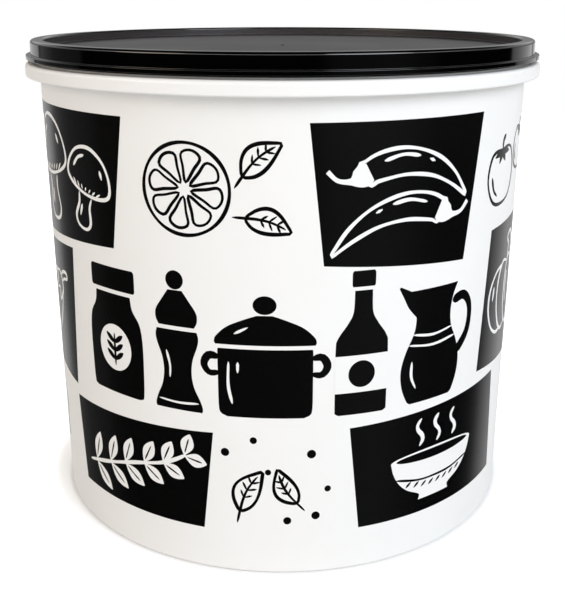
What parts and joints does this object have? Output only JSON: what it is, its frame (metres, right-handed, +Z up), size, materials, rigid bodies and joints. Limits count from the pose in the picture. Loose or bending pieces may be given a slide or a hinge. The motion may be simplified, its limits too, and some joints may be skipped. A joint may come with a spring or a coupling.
{
  "type": "rice canister with lid",
  "caption": "Round white dry-food canister with a turned-down rim and a black press-on lid that lifts off and has a stacking recess.",
  "frame": {"origin": "centre of the foot ring, on the surface that the canister stands on", "axes": "+Z up along the turning axis of the body and the lid; -Y towards the front of the picture, +X to its right"},
  "size_m": [0.24, 0.24, 0.2174],
  "materials": {
    "container_white": "moulded polypropylene, semi-gloss",
    "lid_black": "moulded polyethylene, polished side and fine-matte panel"
  },
  "bodies": {
    "container": {"container": "container_white"},
    "lid": {"lid": "lid_black"}
  },
  "joints": [
    {"name": "lid_lift", "type": "slide", "parent": "container", "child": "lid", "axis": [0, 0, 1], "range_m": [0, 0.06]}
  ]
}
